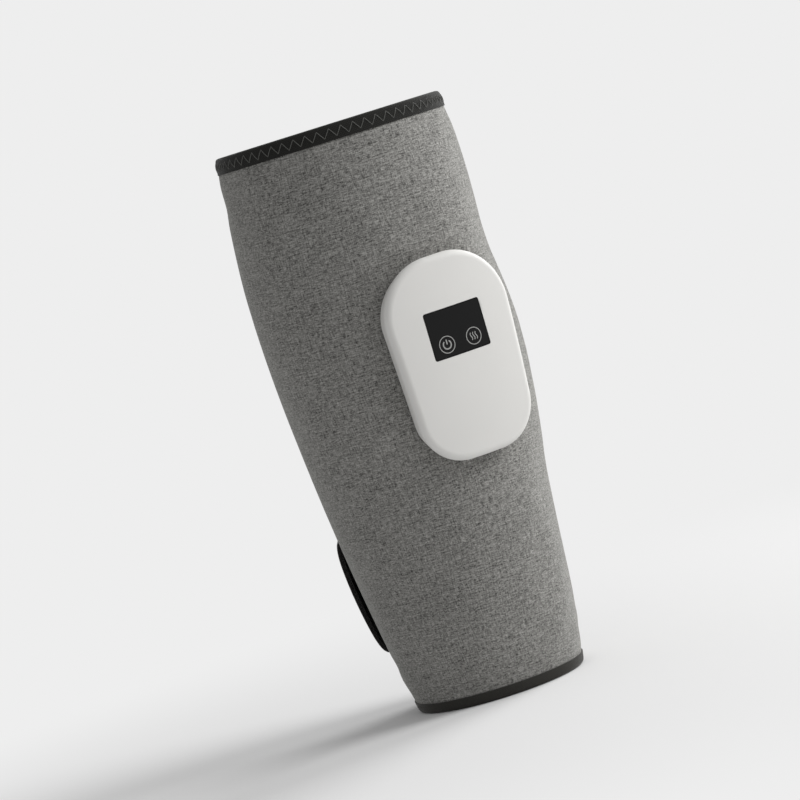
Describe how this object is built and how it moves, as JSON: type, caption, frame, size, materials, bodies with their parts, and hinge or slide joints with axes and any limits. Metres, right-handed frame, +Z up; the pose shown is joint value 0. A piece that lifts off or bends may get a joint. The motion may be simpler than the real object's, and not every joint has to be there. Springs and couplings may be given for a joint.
{
  "type": "calf massager",
  "caption": "Padded calf wrap that closes with hook-and-loop straps, with air bladders, a heating film and a control pod holding a pump, valves, battery, keys and display window",
  "frame": {"origin": "on the axis of the leg passage, in the plane of the lower hem", "axes": "+Z up along the leg towards the wide end, -Y out of the control pod's face, +Y towards the closing edges, +X to the right as the pod is looked at"},
  "size_m": [0.141, 0.1564, 0.33],
  "materials": {
    "grey_knit": "heathered grey knit",
    "binding_tape": "dark woven binding tape",
    "lining_velvet": "short dark velvet",
    "webbing": "black brushed loop fabric",
    "hook_tape": "black moulded hooks",
    "bladder_film": "translucent polyurethane film",
    "heater_film": "laminated heating film",
    "foam": "open-cell foam",
    "white_shell": "satin white moulding",
    "grey_case": "grey moulding",
    "black_window": "gloss black window",
    "circuit_board": "green solder mask",
    "black_moulding": "black moulding",
    "cell_foil": "laminated cell foil",
    "steel": "drawn steel",
    "brass": "turned brass",
    "pump_moulding": "natural nylon moulding",
    "silicone": "translucent silicone",
    "black_rubber": "black rubber"
  },
  "bodies": {
    "wrap": {"outer_cover": "grey_knit", "lining": "lining_velvet", "top_binding": "binding_tape", "hem_binding": "binding_tape", "closing_edge_binding": "binding_tape", "upper_air_bladder": "bladder_film", "lower_air_bladder": "bladder_film", "heating_film": "heater_film", "pod_front_cover": "white_shell", "pod_rear_case": "grey_case", "case_screws": "steel", "display_lens": "black_window", "control_board": "circuit_board", "board_screws": "steel", "display_module": "black_moulding", "key_switches": "steel", "controller_chip": "black_moulding", "battery": "cell_foil", "battery_pad": "foam", "charge_socket": "steel", "charge_board": "circuit_board", "pump_motor": "steel", "pump_housing": "pump_moulding", "wobble_plate": "pump_moulding", "pump_diaphragm": "black_rubber", "pump_cover": "pump_moulding", "pump_cradle": "black_rubber", "air_manifold": "pump_moulding", "lower_valve": "black_moulding", "upper_valve": "black_moulding", "pump_hose": "silicone", "lower_hose": "silicone", "upper_hose": "silicone"},
    "flap": {"flap_cover": "grey_knit", "flap_lining": "lining_velvet", "flap_padding": "foam", "flap_top_binding": "binding_tape", "flap_hem_binding": "binding_tape", "flap_edge_binding": "binding_tape", "upper_strap_root": "webbing", "lower_strap_root": "webbing"},
    "upper_strap": {"upper_strap": "webbing", "upper_hook_pad": "hook_tape"},
    "lower_strap": {"lower_strap": "webbing", "lower_hook_pad": "hook_tape"},
    "power_key": {"power_key": "black_window"},
    "heat_key": {"heat_key": "black_window"},
    "pump_crank": {"pump_crank": "steel"},
    "lower_valve_plunger": {"lower_valve_plunger": "brass"},
    "upper_valve_plunger": {"upper_valve_plunger": "brass"}
  },
  "joints": [
    {"name": "flap_fold", "type": "hinge", "parent": "wrap", "child": "flap", "pos_m": [0.06626, -0.01775, 0.165], "axis": [-0.0712, 0.0191, -0.9973], "range_deg": [0, 100]},
    {"name": "upper_strap_peel", "type": "hinge", "parent": "flap", "child": "upper_strap", "pos_m": [0.01668, 0.07227, 0.25], "axis": [0.0012, 0.0052, -1], "range_deg": [0, 150]},
    {"name": "lower_strap_peel", "type": "hinge", "parent": "flap", "child": "lower_strap", "pos_m": [0.01377, 0.05963, 0.07], "axis": [-0.0284, -0.1228, -0.992], "range_deg": [0, 150]},
    {"name": "power_key_press", "type": "slide", "parent": "wrap", "child": "power_key", "axis": [0, 0.9987, 0.0513], "range_m": [0, 0.0006], "stiffness_N_per_m": 2500},
    {"name": "heat_key_press", "type": "slide", "parent": "wrap", "child": "heat_key", "axis": [0, 0.9987, 0.0513], "range_m": [0, 0.0006], "stiffness_N_per_m": 2500},
    {"name": "pump_spin", "type": "hinge", "parent": "wrap", "child": "pump_crank", "pos_m": [-0.0135, -0.06597, 0.1516], "axis": [0, -0.0513, 0.9987], "continuous": true},
    {"name": "lower_valve_lift", "type": "slide", "parent": "wrap", "child": "lower_valve_plunger", "axis": [0, 0.0513, -0.9987], "range_m": [0, 0.0008], "stiffness_N_per_m": 250, "springref_m": -0.001},
    {"name": "upper_valve_lift", "type": "slide", "parent": "wrap", "child": "upper_valve_plunger", "axis": [0, 0.0513, -0.9987], "range_m": [0, 0.0008], "stiffness_N_per_m": 250, "springref_m": -0.001}
  ]
}
